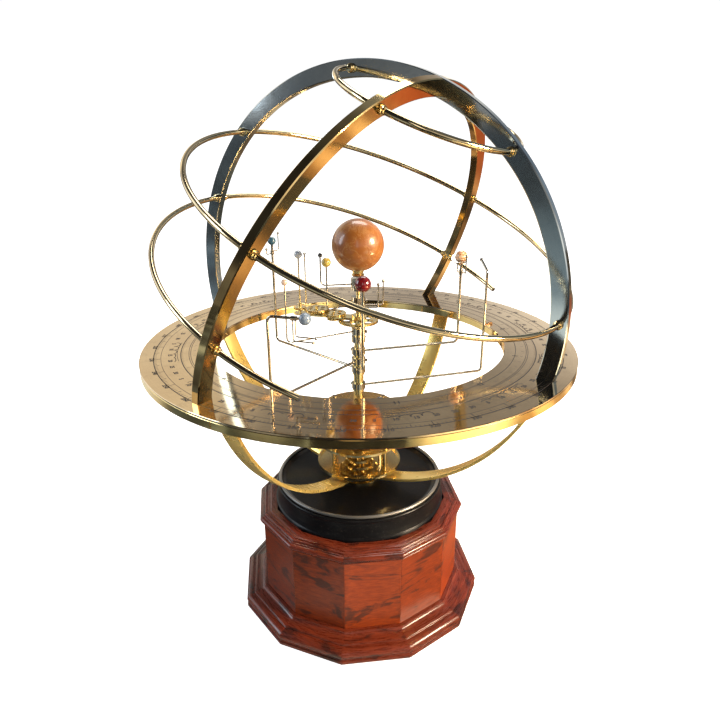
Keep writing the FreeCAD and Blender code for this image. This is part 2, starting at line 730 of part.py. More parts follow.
def make_earth():
    """Geared arm: the Moon's train rolls round the fixed crown wheel."""
    angle = azimuth["earth"]
    deck = earth_z
    thick = 1.6
    first = polar(moon_c1, angle)
    second = polar(moon_c1 + moon_c2, angle)
    third = polar(earth_orbit, angle)
    hub = tube_out(2)
    plate = disc(8.0, deck - thick / 2, thick)
    half_width = 6.5
    corners = [polar(half_width, angle + 90), polar(half_width, angle - 90)]
    far = [third + polar(half_width, angle - 90), third + polar(half_width, angle + 90)]
    outline = Part.makePolygon([c + V(0, 0, deck - thick / 2) for c in corners + far + corners[:1]])
    plate = plate.fuse(Part.Face(outline).extrude(V(0, 0, thick)))
    plate = plate.fuse(disc(half_width, deck - thick / 2, thick, third)).removeSplitter()
    plate = plate.cut(disc(hub, deck - 9, 18)).cut(disc(pin_r + run_gap, deck - 9, 18, first))
    collar = washer(6.5, hub, deck + thick / 2, 3.2 - thick / 2)
    pin = disc(pin_r, deck - thick / 2, 9.6, second)
    ball_z = plate_top + stone_lift["earth"]
    mast = disc(fine_wire_r, deck - thick / 2, ball_z - earth_ball + wire_seat - deck, third)
    plate = plate.cut(pin).cut(mast)
    save("earth_arm", plate, collar, pin, mast)
    ball = Part.makeSphere(earth_ball, third + V(0, 0, ball_z)).cut(mast)
    save("earth_ball", ball)

    top = deck + thick / 2
    lower_z = fixed_wheel_z
    wheel_1_z = top + 0.5
    wheel_2_z = top + 3.4
    height = 2.2
    tooth_1 = mesh_angle(moon_fixed_teeth, 0.0, angle, moon_first_pinion)
    pinion = toothed(moon_first_pinion, moon_module, lower_z, 2.4, first, tooth_1, pin_r)
    big = toothed(moon_wheel_teeth, moon_module, wheel_1_z, height, first, 0.0, pin_r)
    spindle = disc(pin_r, lower_z, wheel_1_z + height + 0.8 - lower_z, first)
    save("moon_train_first", spindle.fuse(pinion).fuse(big))
    bore = pin_r + run_gap
    tooth_2 = mesh_angle(moon_wheel_teeth, 0.0, angle, moon_pinion_teeth)
    small = toothed(moon_pinion_teeth, moon_module, wheel_1_z, height, second, tooth_2, bore)
    big = toothed(moon_wheel_teeth, moon_module, wheel_2_z, height, second, 0.0, bore)
    sleeve = washer(3.0, bore, wheel_1_z, wheel_2_z - wheel_1_z, second)
    save("moon_train_second", small.fuse(sleeve).fuse(big))
    tooth_3 = mesh_angle(moon_wheel_teeth, 0.0, angle, moon_pinion_teeth)
    mast_bore = fine_wire_r + run_gap
    pinion = toothed(moon_pinion_teeth, moon_module, wheel_2_z, height, third, tooth_3, mast_bore)
    pipe = washer(1.5, mast_bore, wheel_2_z - 2.6, 9.0, third)
    elbow_z = wheel_2_z + 5.0
    start = third + polar(1.2, moon_azimuth, elbow_z)
    elbow = third + polar(moon_orbit, moon_azimuth, elbow_z)
    tip = third + polar(moon_orbit, moon_azimuth, ball_z - moon_ball + wire_seat / 2)
    wire = bent_wire([start, elbow, tip], hair_wire_r, 1.6)
    save("moon_pipe", pinion.fuse(pipe).fuse(wire))
    moon = Part.makeSphere(moon_ball, third + polar(moon_orbit, moon_azimuth, ball_z))
    save("moon_ball", moon.cut(wire))


make_base()
stand_screws = make_stand()
ring_a, ring_b = make_sphere()
foot_screws = make_plate(ring_a, ring_b)
make_straps(foot_screws)
make_movement(stand_screws + foot_screws)
make_planets()
make_earth()
print("plate top", round(plate_top, 1), "radii", round(plate_inner_r, 1), round(plate_outer_r, 1),
      "ring", round(ring_r, 1), "height", round(sphere_z + ring_outer_r, 1))
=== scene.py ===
"""Looks of the grand orrery: a brass armillary sphere round stone planets, on a twelve-sided wooden base."""
import math

import bmesh
import bpy
from mathutils import Matrix, Vector


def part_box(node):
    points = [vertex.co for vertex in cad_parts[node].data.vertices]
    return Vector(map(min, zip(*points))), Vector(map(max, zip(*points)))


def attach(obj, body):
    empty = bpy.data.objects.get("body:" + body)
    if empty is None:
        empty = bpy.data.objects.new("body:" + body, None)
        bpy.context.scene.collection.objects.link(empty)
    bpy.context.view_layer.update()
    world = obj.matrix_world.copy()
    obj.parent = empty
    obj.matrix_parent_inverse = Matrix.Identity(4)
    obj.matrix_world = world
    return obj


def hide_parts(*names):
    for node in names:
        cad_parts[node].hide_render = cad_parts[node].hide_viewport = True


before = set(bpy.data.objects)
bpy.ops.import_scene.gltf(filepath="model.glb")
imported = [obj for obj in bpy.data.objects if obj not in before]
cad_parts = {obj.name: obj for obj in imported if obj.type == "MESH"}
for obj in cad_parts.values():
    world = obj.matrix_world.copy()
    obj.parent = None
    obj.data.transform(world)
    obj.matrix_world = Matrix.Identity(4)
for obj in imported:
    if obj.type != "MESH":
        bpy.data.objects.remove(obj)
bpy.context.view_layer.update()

# ---------------------------------------------------------------- places, from the frame, and named sizes
MM = 0.001
X = Vector((1, 0, 0))
Y = Vector((0, 1, 0))
Z = Vector((0, 0, 1))

PLATE_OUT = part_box("ecliptic_plate")[1][0]
PLATE_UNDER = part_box("ecliptic_plate")[0][2]
PLATE_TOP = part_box("ecliptic_plate")[1][2]
PLATE_WIDTH = 67 * MM
PLATE_IN = PLATE_OUT - PLATE_WIDTH
BAND_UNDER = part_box("plate_bands")[0][2]
BAND_THICK = 1.8 * MM
JOINT_GAP = 0.35 * MM

PLATE_DROP = 50.5 * MM
SPHERE = Vector((0, 0, PLATE_TOP + PLATE_DROP))
RING_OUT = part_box("solstitial_ring")[1][2] - SPHERE.z
RING_WIDTH = 15 * MM
RING_IN = RING_OUT - RING_WIDTH
RING_MEAN = RING_OUT - RING_WIDTH / 2
RING_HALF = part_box("solstitial_ring")[1][1]
TILT = math.radians(23.5)
POLE = Vector((math.sin(TILT), 0, math.cos(TILT)))
ACROSS = Vector((math.cos(TILT), 0, -math.sin(TILT)))

ROD_WIRE = 2.5 * MM
POLAR_LATITUDE = 65.6
TROPIC_LATITUDE = 23.5
EQUATOR_INSET = 3.5 * MM
EQUATOR_HALF_OPEN = math.radians(67.5)
STRAP_R = RING_MEAN + 1.5 * MM
STRAP_HALF_THICK = 1.5 * MM
STRAP_HALF_WIDTH = 9 * MM
STRAP_END = 13.8 * MM

SIDES = 12
SIDE_STEP = 2 * math.pi / SIDES
BASE_TURN = math.radians(25.9)
DRUM_R = 108.2 * MM
DRUM_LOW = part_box("base_staves")[0][2]
DRUM_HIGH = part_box("base_staves")[1][2]
STAVE_THICK = 18 * MM
PLINTH_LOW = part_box("base_plinth")[0][2]
PLINTH_R = DRUM_R + 24.5 * MM
CORNICE_R = DRUM_R + 4.0 * MM
BASE_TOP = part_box("base_cornice")[1][2]
STAND_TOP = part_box("turned_stand")[1][2]
STAND_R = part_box("turned_stand")[1][0]


# ---------------------------------------------------------------- shader helpers
class Nodes:
    """A node tree under construction. A value is a number, a vector, a colour or another node's output."""

    def __init__(self, tree):
        self.tree = tree

    def feed(self, value, socket):
        if isinstance(value, bpy.types.NodeSocket):
            self.tree.links.new(value, socket)
        elif isinstance(value, tuple) and socket.type == "RGBA":
            socket.default_value = (*value, 1)
        else:
            socket.default_value = value

    def node(self, kind, **values):
        made = self.tree.nodes.new("ShaderNode" + kind)
        for key, value in values.items():
            if hasattr(made, key):
                setattr(made, key, value)
            else:
                self.feed(value, made.inputs[key.replace("_", " ")])
        return made

    def math(self, operation, a, b=None):
        made = self.node("Math", operation=operation)
        self.feed(a, made.inputs[0])
        if b is not None:
            self.feed(b, made.inputs[1])
        return made.outputs[0]

    def vector(self, operation, a, b):
        made = self.node("VectorMath", operation=operation)
        self.feed(a, made.inputs[0])
        self.feed(b, made.inputs[1])
        return made.outputs["Value" if operation in ("DOT_PRODUCT", "DISTANCE") else "Vector"]

    def join(self, x, y, z):
        made = self.node("CombineXYZ", X=x, Y=y, Z=z)
        return made.outputs[0]

    def split(self, vector):
        return self.node("SeparateXYZ", Vector=vector).outputs

    def span(self, value, low, high, to_low=0.0, to_high=1.0, smooth=False):
        """Value taken from the range low to high into the range to_low to to_high, and held at its ends."""
        made = self.node("MapRange", Value=value, From_Min=low, From_Max=high, To_Min=to_low, To_Max=to_high)
        if smooth:
            made.interpolation_type = "SMOOTHSTEP"
        return made.outputs[0]

    def ramp(self, source, stops):
        made = self.node("ValToRGB", Fac=source)
        elements = made.color_ramp.elements
        while len(elements) < len(stops):
            elements.new(0.5)
        for element, (place, color) in zip(elements, stops):
            element.position = place
            element.color = (*color, 1)
        return made.outputs[0]

    def mask(self, source, low, high, most=1.0):
        """Grey ramp from black at low to the grey value most at high."""
        return self.ramp(source, ((low, (0, 0, 0)), (high, (most, most, most))))

    def noise(self, vector, scale, detail=4.0, roughness=0.55, distortion=0.0):
        made = self.node("TexNoise", Vector=vector, Scale=scale, Detail=detail, Roughness=roughness,
                         Distortion=distortion)
        return made.outputs[0]

    def stretch(self, vector, scale):
        return self.node("Mapping", Vector=vector, Scale=scale).outputs[0]

    def mix(self, factor, a, b, blend="MIX"):
        made = self.node("Mix", data_type="RGBA", blend_type=blend)
        for socket, value in ((0, factor), (6, a), (7, b)):
            self.feed(value, made.inputs[socket])
        return made.outputs[2]


class Shader(Nodes):
    """A material under construction, its fixed values set on the Principled node's own sockets."""

    def __init__(self, name, **values):
        self.material = bpy.data.materials.new(name)
        self.material.use_nodes = True
        super().__init__(self.material.node_tree)
        self.bsdf = self.tree.nodes["Principled BSDF"]
        for key, value in values.items():
            self.feed(value, self.bsdf.inputs[key.replace("_", " ")])

    def place(self):
        return self.node("TexCoord").outputs["Object"]

    def color(self, value):
        self.feed(value, self.bsdf.inputs["Base Color"])

    def rough(self, value, low, high):
        self.feed(self.span(value, 0.0, 1.0, low, high), self.bsdf.inputs["Roughness"])

    def bump(self, value, distance, strength):
        made = self.node("Bump", Height=value, Strength=strength, Distance=distance)
        self.feed(made.outputs[0], self.bsdf.inputs["Normal"])


def darker(color, share):
    return tuple(c * share for c in color)


def brass(name, base, tarnish, low, high, grain=(1, 1, 1), scale=60.0, dents=0.00004, metal=1.0):
    """Polished metal with a slow colour drift and fine brushing; low and high bound its roughness."""
    s = Shader(name, Metallic=metal)
    where = s.place()
    drift = s.noise(where, 9.0, 3.0)
    brush = s.noise(s.stretch(where, grain), scale, 5.0, 0.6)
    tone = s.ramp(drift, ((0.32, tarnish), (0.62, base)))
    s.color(s.mix(s.math("MULTIPLY", brush, 0.35), tone, darker(base, 0.72)))
    s.rough(s.mix(0.6, brush, drift), low, high)
    s.bump(brush, dents, 0.35)
    return s.material


def arc_brass(name, base, tarnish, low, high, axes, middle, scale=1800.0):
    """Metal brushed along a circle about the last of three axes, with slow stains and a few scratches."""
    s = Shader(name, Metallic=1.0)
    away = s.vector("SUBTRACT", s.place(), tuple(middle))
    a, b, height = [s.vector("DOT_PRODUCT", away, tuple(axis)) for axis in axes]
    radius = s.math("SQRT", s.math("ADD", s.math("MULTIPLY", a, a), s.math("MULTIPLY", b, b)))
    long_grain = s.math("MULTIPLY", s.math("ARCTAN2", b, a), 0.012)
    brush = s.noise(s.join(long_grain, radius, height), scale, 4.0, 0.7)
    stain = s.noise(s.place(), 16.0, 4.0, 0.6)
    marks = s.mask(s.noise(s.place(), 38.0, 6.0, 0.75, 1.5), 0.52, 0.72, 0.8)
    tone = s.ramp(stain, ((0.36, tarnish), (0.6, base)))
    tone = s.mix(s.math("MULTIPLY", brush, 0.5), tone, darker(base, 0.62))
    s.color(s.mix(s.math("MULTIPLY", marks, 0.35), tone, darker(tarnish, 0.45)))
    s.rough(s.mix(0.45, brush, stain), low, high)
    s.bump(brush, 0.00004, 0.2)
    return s.material


def stone(name, colors, scale, rough=0.12, distortion=1.2, vein=None, glow=0.0):
    """Polished mineral ball: clouded colour, faint veins, clear polish."""
    s = Shader(name, Coat_Weight=0.6, Coat_Roughness=0.06, Subsurface_Weight=glow, Subsurface_Scale=0.6,
               Subsurface_Radius=(0.012, 0.006, 0.003))
    where = s.place()
    cloud = s.noise(where, scale, 6.0, 0.62, distortion)
    steps = [(0.25 + 0.5 * i / (len(colors) - 1), c) for i, c in enumerate(colors)]
    tone = s.ramp(cloud, steps)
    if vein:
        wander = s.noise(where, scale * 1.9, 7.0, 0.7, 2.5)
        lines = s.ramp(wander, ((0.47, (0, 0, 0)), (0.5, (1, 1, 1)), (0.53, (0, 0, 0))))
        tone = s.mix(s.math("MULTIPLY", lines, 0.5), tone, vein)
    s.color(tone)
    s.rough(s.noise(where, scale * 3, 4.0), rough * 0.7, rough * 1.8)
    s.bump(cloud, 0.0001, 0.15)
    return s.material


def banded_stone():
    s = Shader("banded_stone", Roughness=0.12, Coat_Weight=0.6)
    bands = s.noise(s.stretch(s.place(), (20, 60, 260)), 2.0, 5.0, 0.6, 0.8)
    s.color(s.ramp(bands, ((0.3, (0.30, 0.09, 0.03)), (0.45, (0.62, 0.26, 0.09)), (0.55, (0.80, 0.62, 0.42)),
                           (0.7, (0.50, 0.19, 0.07)))))
    s.bump(bands, 0.00005, 0.2)
    return s.material


def wood(name, light, dark, streak, rough, seed, coat=0.12):
    """Lacquered red hardwood, its grain running round the base, each side cut from another board."""
    s = Shader(name, Coat_Weight=coat, Coat_Roughness=0.15, Specular_IOR_Level=0.3)
    x, y, height = s.split(s.place())
    angle = s.math("ARCTAN2", y, x)
    radius = s.node("VectorMath", operation="LENGTH", Vector=s.join(x, y, 0.0)).outputs["Value"]
    unrolled = s.join(s.math("MULTIPLY", angle, 0.11), radius, height)
    board = s.math("FLOOR", s.math("DIVIDE", s.math("SUBTRACT", angle, BASE_TURN), SIDE_STEP))
    pick = s.node("TexWhiteNoise", noise_dimensions="1D", W=s.math("ADD", board, seed)).outputs[0]
    shift = s.join(s.math("MULTIPLY", pick, 3.0), 0.0, s.math("MULTIPLY", pick, 7.0))
    where = s.vector("ADD", unrolled, shift)
    fibre = s.noise(s.stretch(where, (7, 60, 90)), 9.0, 7.0, 0.68, 0.4)
    figure = s.noise(s.stretch(where, (6, 10, 22)), 2.2, 4.0, 0.6, 1.6)
    pores = s.noise(s.stretch(where, (40, 300, 500)), 6.0, 3.0, 0.7)
    tone = s.ramp(fibre, ((0.3, dark), (0.68, light)))
    tone = s.mix(s.mask(figure, 0.54, 0.62, 0.75), tone, streak)
    tone = s.mix(s.mask(pores, 0.62, 0.72, 0.5), tone, darker(dark, 0.35))
    tint = s.ramp(pick, ((0.0, (0.72, 0.66, 0.66)), (0.5, (1, 1, 1)), (1.0, (1.25, 1.1, 1.0))))
    s.color(s.mix(1.0, tone, tint, "MULTIPLY"))
    s.rough(fibre, rough * 0.8, rough * 1.35)
    s.bump(pores, 0.00012, 0.35)
    return s.material


def black_lacquer():
    s = Shader("black_lacquer", Coat_Weight=0.12, Coat_Roughness=0.06, Specular_IOR_Level=0.12)
    where = s.place()
    dust = s.noise(where, 420.0, 3.0, 0.8)
    s.color(s.ramp(dust, ((0.58, (0.004, 0.004, 0.005)), (0.8, (0.035, 0.033, 0.03)))))
    s.rough(s.noise(where, 30.0, 4.0), 0.22, 0.42)
    s.bump(s.noise(where, 260.0, 5.0, 0.7), 0.0003, 0.25)
    return s.material


def speckled(name, scale, dark, light, detail=4.0, **values):
    """Plain surface whose colour wavers finely between two tones."""
    s = Shader(name, **values)
    s.color(s.ramp(s.noise(s.place(), scale, detail), (dark, light)))
    return s.material


def felt():
    s = Shader("felt", Roughness=1.0, Sheen_Weight=0.5)
    fluff = s.noise(s.place(), 900.0, 4.0, 0.8)
    s.color(s.ramp(fluff, ((0.3, (0.01, 0.02, 0.014)), (0.7, (0.05, 0.08, 0.06)))))
    s.bump(fluff, 0.0003, 0.8)
    return s.material


# ---------------------------------------------------------------- materials
def make_metals():
    """Each row: look, material name, clean and tarnished colour, least and most roughness, brushing. Ring A's
    blue-grey colours are a painted reflection of a blue-grey sky, not a tone of its brass.
    """
    upright = (X, Y, Z)
    even = (1, 1, 1)
    turned = (
        ("rod_end", "ferrule_brass", (0.88, 0.68, 0.34), (0.7, 0.5, 0.22), 0.1, 0.2, even, 150.0),
        ("rod", "rod_brass", (0.72, 0.58, 0.34), (0.50, 0.38, 0.21), 0.05, 0.12, even, 120.0),
        ("gear", "gear_brass", (0.90, 0.73, 0.36), (0.68, 0.52, 0.24), 0.14, 0.3, (1, 1, 6), 160.0),
        ("strap", "strap_brass", (0.97, 0.73, 0.24), (0.90, 0.60, 0.16), 0.2, 0.36, (1, 4, 1), 60.0,
         0.00004, 0.75),
        ("wire", "wire_brass", (0.60, 0.54, 0.43), (0.40, 0.35, 0.27), 0.08, 0.16, even, 200.0),
        ("steel", "turned_steel", (0.60, 0.58, 0.54), (0.42, 0.40, 0.37), 0.14, 0.28, (1, 1, 8), 180.0),
        ("bead", "bead_metal", (0.30, 0.29, 0.27), (0.17, 0.16, 0.15), 0.35, 0.55, even, 220.0, 0.0002),
    )
    bent = (
        ("plate", "plate_brass", (0.74, 0.56, 0.34), (0.64, 0.47, 0.28), 0.04, 0.11, upright, Vector(),
         540.0),
        ("band", "band_brass", (0.84, 0.66, 0.30), (0.66, 0.48, 0.20), 0.05, 0.16, upright, Vector()),
        # ring A's blue-grey clean and tarnished colours are painted reflection of a blue-grey sky laid into
        # its brass colour
        ("ring_a", "solstice_brass", (0.66, 0.69, 0.66), (0.47, 0.53, 0.55), 0.04, 0.14, (X, Z, Y), SPHERE),
        ("ring_b", "equinox_brass", (0.86, 0.62, 0.28), (0.68, 0.43, 0.17), 0.03, 0.12, (Y, POLE, ACROSS),
         SPHERE),
    )
    looks = {row[0]: brass(*row[1:]) for row in turned}
    looks.update({row[0]: arc_brass(*row[1:]) for row in bent})
    return looks


def make_woods():
    """Each row: look, material name, light, dark and streak colours, roughness, seed of its boards, coat."""
    rows = (
        ("staves", "stave_wood", (0.27, 0.043, 0.007), (0.10, 0.016, 0.005), (0.030, 0.013, 0.010), 0.3, 3.0),
        ("moulding", "moulding_wood", (0.16, 0.026, 0.009), (0.05, 0.009, 0.005), (0.018, 0.006, 0.005),
         0.26, 11.0, 0.35),
        ("board", "inner_board", (0.45, 0.28, 0.15), (0.30, 0.17, 0.09), (0.25, 0.14, 0.08), 0.6, 5.0),
    )
    return {row[0]: wood(*row[1:]) for row in rows}


def make_stone_looks():
    """Each row: look, material name, colours from dark to light, size of its clouds, then any polish."""
    rows = (
        ("sun", "orange_calcite", ((0.20, 0.056, 0.006), (0.28, 0.09, 0.010), (0.36, 0.14, 0.024)), 20.0,
         0.3, 0.6, (0.50, 0.27, 0.10), 0.1),
        ("mercury", "dark_stone", ((0.02, 0.02, 0.022), (0.07, 0.065, 0.06)), 260.0),
        ("venus", "gold_stone", ((0.34, 0.22, 0.04), (0.60, 0.44, 0.10)), 180.0),
        ("earth", "earth_stone", ((0.08, 0.14, 0.26), (0.45, 0.50, 0.55), (0.80, 0.82, 0.83)), 160.0),
        ("moon", "moon_stone", ((0.62, 0.60, 0.56), (0.85, 0.84, 0.80)), 300.0),
        ("mars", "pale_stone", ((0.55, 0.34, 0.24), (0.80, 0.64, 0.52)), 220.0),
        ("jupiter", "red_stone", ((0.04, 0.002, 0.003), (0.12, 0.004, 0.006), (0.20, 0.012, 0.01)), 110.0,
         0.08),
        ("uranus", "grey_stone", ((0.09, 0.13, 0.19), (0.18, 0.24, 0.33), (0.34, 0.39, 0.46)), 130.0),
        ("neptune", "teal_stone", ((0.012, 0.04, 0.06), (0.03, 0.09, 0.14), (0.08, 0.18, 0.24)), 150.0),
    )
    return {row[0]: stone(*row[1:]) for row in rows}


MATERIALS = {
    **make_metals(), **make_woods(), **make_stone_looks(),
    "saturn": banded_stone(),
    "lacquer": black_lacquer(),
    "felt": felt(),
    "wax": speckled("engraving_wax", 400.0, (0.3, (0.004, 0.003, 0.002)), (0.7, (0.02, 0.012, 0.008)), 3.0,
                    Roughness=0.6),
    "knob": speckled("black_knob", 200.0, (0.3, (0.008, 0.007, 0.008)), (0.8, (0.02, 0.018, 0.018)),
                     Roughness=0.1, Coat_Weight=1.0),
}
MATERIALS["pluto"] = MATERIALS["mercury"]

# looks of the CAD nodes that stay visible; the planets' arms are wire and every other node is gear brass
CAD_LOOKS = {"felt_pads": "felt", "base_boards": "board", "drive_knob": "knob", "centre_post": "steel",
             "drive_spindle": "steel", "screws_and_nuts": "steel", "saturn_ring": "steel",
             "earth_arm": "gear"}


def look_of(node):
    return CAD_LOOKS.get(node, "wire" if node.endswith("_arm") else "gear")


for node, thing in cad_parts.items():
    thing.data.materials.clear()
    thing.data.materials.append(MATERIALS[look_of(node)])


# ---------------------------------------------------------------- mesh helpers
def add_mesh(name, points, faces, look, smooth=True, angle=35.0):
    mesh = bpy.data.meshes.new(name)
    mesh.from_pydata([tuple(p) for p in points], [], faces)
    mesh.validate()
    thing = bpy.data.objects.new(name, mesh)
    bpy.context.scene.collection.objects.link(thing)
    mesh.materials.append(MATERIALS[look])
    if smooth:
        mesh.shade_smooth()
        mesh.set_sharp_from_angle(angle=math.radians(angle))
    return thing


def finish_piece(thing, body, replaces=None):
    """Puts a piece on its CAD body, in the place of the CAD node it replaces."""
    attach(thing, body)
    if replaces:
        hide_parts(replaces)


def grid_faces(rows, columns, close_rows, close_columns):
    """Quads over points laid out in rows, joined round where a direction is closed."""
    faces = []
    for i in range(rows if close_rows else rows - 1):
        for j in range(columns if close_columns else columns - 1):
            a = i * columns + j
            b = i * columns + (j + 1) % columns
            c = ((i + 1) % rows) * columns + (j + 1) % columns
            d = ((i + 1) % rows) * columns + j
            faces.append((a, b, c, d))
    return faces


# ---------------------------------------------------------------- shape builders
def soften(profile, reach=0.0006, steps=4, closed=False):
    """Rounds the corners of a profile of (a, b) points, keeping its end points unless it is closed."""
    points = [Vector((a, b)) for a, b in profile]
    out = []
    count = len(points)
    for i, p in enumerate(points):
        if not closed and i in (0, count - 1):
            out.append(tuple(p))
            continue
        before = points[i - 1]
        after = points[(i + 1) % count]
        into = before - p
        away = after - p
        cut_in = min(reach, into.length * 0.45)
        cut_out = min(reach, away.length * 0.45)
        a = p + into.normalized() * cut_in
        b = p + away.normalized() * cut_out
        for k in range(steps + 1):
            t = k / steps
            q = a * (1 - t) ** 2 + p * 2 * t * (1 - t) + b * t ** 2
            out.append(tuple(q))
    return out


def lathe(name, profile, look, segments, angle=35.0, closed=False):
    """Turned piece about the Z axis from (radius, height) points."""
    points = []
    for i in range(segments):
        a = 2 * math.pi * i / segments
        for r, z in profile:
            points.append((r * math.cos(a), r * math.sin(a), z))
    return add_mesh(name, points, grid_faces(segments, len(profile), True, closed), look, angle=angle)


def faceted(name, profile, look, arris=0.0004):
    """Twelve-sided moulding from (circumscribed radius, height) points, its mitres very slightly eased."""
    points = []
    for i in range(SIDES):
        for side in (-1, 1):
            for r, z in profile:
                a = BASE_TURN + SIDE_STEP * i + side * arris / r
                points.append((r * math.cos(a), r * math.sin(a), z))
    return add_mesh(name, points, grid_faces(SIDES * 2, len(profile), True, False), look, angle=14.0)


def swept(name, section, look, axes, centre, start, end, segments, angle=35.0):
    """Bar bent round an arc about the last of three axes. section holds (radius, offset along it) points.
    start and end give the arc's angles for each section point, so that an end can be cut off level."""
    e1, e2, normal = axes
    whole = start is None
    rows = segments if whole else segments + 1
    points = []
    for i in range(rows):
        for r, d in section:
            first, last = (0, 2 * math.pi) if whole else (start(r, d), end(r, d))
            a = first + (last - first) * i / segments
            points.append(centre + e1 * (r * math.cos(a)) + e2 * (r * math.sin(a)) + normal * d)
    faces = grid_faces(rows, len(section), whole, True)
    if not whole:
        faces.append(tuple(range(len(section)))[::-1])
        faces.append(tuple(range((rows - 1) * len(section), rows * len(section))))
    return add_mesh(name, points, faces, look, angle=angle)


def turned_on(name, at, axis, profile, look, segments):
    """Small turned piece that stands at a point, from (radius, distance along its axis) points."""
    side = axis.orthogonal().normalized()
    other = axis.cross(side)
    points = []
    for i in range(segments):
        a = 2 * math.pi * i / segments
        for r, h in profile:
            points.append(at + side * (r * math.cos(a)) + other * (r * math.sin(a)) + axis * h)
    return add_mesh(name, points, grid_faces(segments, len(profile), True, False), look)


def bar_section(inner, outer, low, high, ease, steps=1):
    """Rectangular bar section with eased corners, as (radius, offset) points."""
    return soften([(inner, low), (outer, low), (outer, high), (inner, high)], ease, steps, closed=True)


def round_section(radius, wire, sides=14):
    return [(radius + wire * math.cos(2 * math.pi * k / sides), wire * math.sin(2 * math.pi * k / sides))
            for k in range(sides)]


def arc_points(centre, across, up, start, turn, steps):
    """Points of an elliptical arc of a moulding, by its centre, half axes and angles in degrees."""
    angles = [math.radians(start + turn * k / steps) for k in range(steps + 1)]
    return [(centre[0] + across * math.cos(t), centre[1] + up * math.sin(t)) for t in angles]


def merged(name, things, angle=35.0):
    """One object from several, each keeping its own material."""
    mesh = bpy.data.meshes.new(name)
    build = bmesh.new()
    looks = []
    for thing in things:
        source = thing.data
        slots = []
        for material in source.materials:
            if material not in looks:
                looks.append(material)
            slots.append(looks.index(material))
        first = len(build.faces)
        copy = source.copy()
        copy.transform(thing.matrix_world)
        build.from_mesh(copy)
        build.faces.ensure_lookup_table()
        for face in build.faces[first:]:
            face.material_index = slots[min(face.material_index, len(slots) - 1)]
        bpy.data.meshes.remove(copy)
        bpy.data.objects.remove(thing)
    build.to_mesh(mesh)
    build.free()
    for material in looks:
        mesh.materials.append(material)
    whole = bpy.data.objects.new(name, mesh)
    bpy.context.scene.collection.objects.link(whole)
    mesh.shade_smooth()
    mesh.set_sharp_from_angle(angle=math.radians(angle))
    return whole


# ---------------------------------------------------------------- wooden base
def make_plinth():
    r = PLINTH_R
    z = PLINTH_LOW
    rise = DRUM_LOW - PLINTH_LOW
    band = [(DRUM_R - 16 * MM, z), (r - 1.0 * MM, z), (r - 0.2 * MM, z + 0.8 * MM),
            (r - 0.2 * MM, z + 0.17 * rise), (r - 1.5 * MM, z + 0.19 * rise),
            (r - 1.5 * MM, z + 0.23 * rise), (r - 0.4 * MM, z + 0.25 * rise)]
    nose = arc_points((r - 7.0 * MM, z + 0.42 * rise), 7.0 * MM, 0.24 * rise, -30, 120, 12)
    step = [(r - 9.0 * MM, z + 0.665 * rise), (r - 9.3 * MM, z + 0.74 * rise),
            (r - 10.6 * MM, z + 0.755 * rise)]
    foot = DRUM_R + 4.0 * MM
    reach = r - 11.0 * MM - foot
    turns = [math.radians(90 * k / 8) for k in range(9)]
    cove = [(foot + reach * (1 - math.sin(t)), z + rise * (0.955 - 0.19 * math.cos(t))) for t in turns]
    top = [(DRUM_R + 3.4 * MM, DRUM_LOW - 0.7 * MM), (DRUM_R + 0.6 * MM, DRUM_LOW - 0.3 * MM),
           (DRUM_R - 3 * MM, DRUM_LOW)]
    piece = faceted("plinth_moulding", soften(band + nose + step + cove + top, 0.4 * MM, 3), "moulding")
    finish_piece(piece, "stand", "base_plinth")


def make_staves():
    """Twelve staves, each with eased long edges, so that the joints show as fine lines."""
    points = []
    faces = []
    ease = 0.35 * MM
    for i in range(SIDES):
        a = BASE_TURN + SIDE_STEP * i
        b = a + SIDE_STEP
        first = Vector((math.cos(a), math.sin(a), 0))
        last = Vector((math.cos(b), math.sin(b), 0))
        along = (last - first).normalized()
        inner_r = DRUM_R - STAVE_THICK
        outline = [first * inner_r, first * (DRUM_R - ease), first * DRUM_R + along * ease,
                   last * DRUM_R - along * ease, last * (DRUM_R - ease), last * inner_r]
        base = len(points)
        for height in (DRUM_LOW, DRUM_HIGH):
            points.extend(p + Z * height for p in outline)
        n = len(outline)
        for k in range(n):
            faces.append((base + k, base + (k + 1) % n, base + n + (k + 1) % n, base + n + k))
        faces.append(tuple(range(base + n - 1, base - 1, -1)))
        faces.append(tuple(range(base + n, base + 2 * n)))
    piece = add_mesh("stave_drum", points, faces, "staves", angle=14.0)
    finish_piece(piece, "stand", "base_staves")


def make_cornice():
    r = CORNICE_R
    z = DRUM_HIGH
    low = [(DRUM_R - 3 * MM, z), (DRUM_R + 0.4 * MM, z), (DRUM_R + 0.4 * MM, z + 0.7 * MM),
           (r - 1.2 * MM, z + 0.9 * MM)]
    nose = arc_points((r - 3.4 * MM, z + 4.1 * MM), 3.4 * MM, 3.0 * MM, -60, 140, 12)
    rest = [(r - 3.6 * MM, z + 7.2 * MM), (r - 3.7 * MM, z + 8.2 * MM), (r - 5.0 * MM, z + 8.4 * MM)]
    bead = arc_points((r - 6.6 * MM, z + 9.3 * MM), 1.5 * MM, 1.2 * MM, -30, 150, 8)
    flat = [(r - 8.6 * MM, z + 9.9 * MM), (r - 8.8 * MM, z + 10.9 * MM), (r - 11.6 * MM, z + 11.1 * MM),
            (r - 12.6 * MM, BASE_TOP), (STAND_R + 2.0 * MM, BASE_TOP)]
    piece = faceted("cornice_moulding", soften(low + nose + rest + bead + flat, 0.3 * MM, 3), "moulding")
    finish_piece(piece, "stand", "base_cornice")


